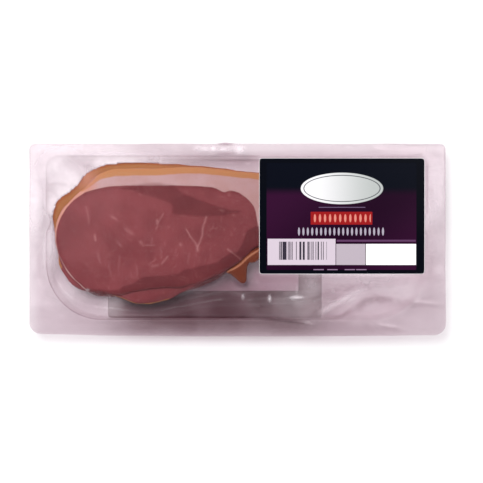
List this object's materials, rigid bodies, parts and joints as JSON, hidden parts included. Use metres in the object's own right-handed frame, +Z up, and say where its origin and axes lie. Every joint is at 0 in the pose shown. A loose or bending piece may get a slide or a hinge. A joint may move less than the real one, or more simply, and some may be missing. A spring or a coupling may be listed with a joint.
{
  "type": "bacon pack",
  "caption": "Flat sealed clear pack of back bacon: a shallow tray with a wide rim, a lid film drawn down over the stacked rashers, a dark front label and a plain rear label.",
  "frame": {"origin": "middle of the pack's outline, on the surface that the pack rests on", "axes": "+X along the pack's length, towards the end with the front label; +Y across the pack, towards the rashers' rind edge; +Z up, out of the lid"},
  "size_m": [0.26, 0.12, 0.0162],
  "materials": {
    "clear_film": "gloss",
    "front_print": "satin",
    "rear_paper": "matte",
    "bacon_rasher": "satin"
  },
  "bodies": {
    "root": {"sealed_pack": "clear_film", "front_label": "front_print", "rear_label": "rear_paper"}
  },
  "joints": []
}
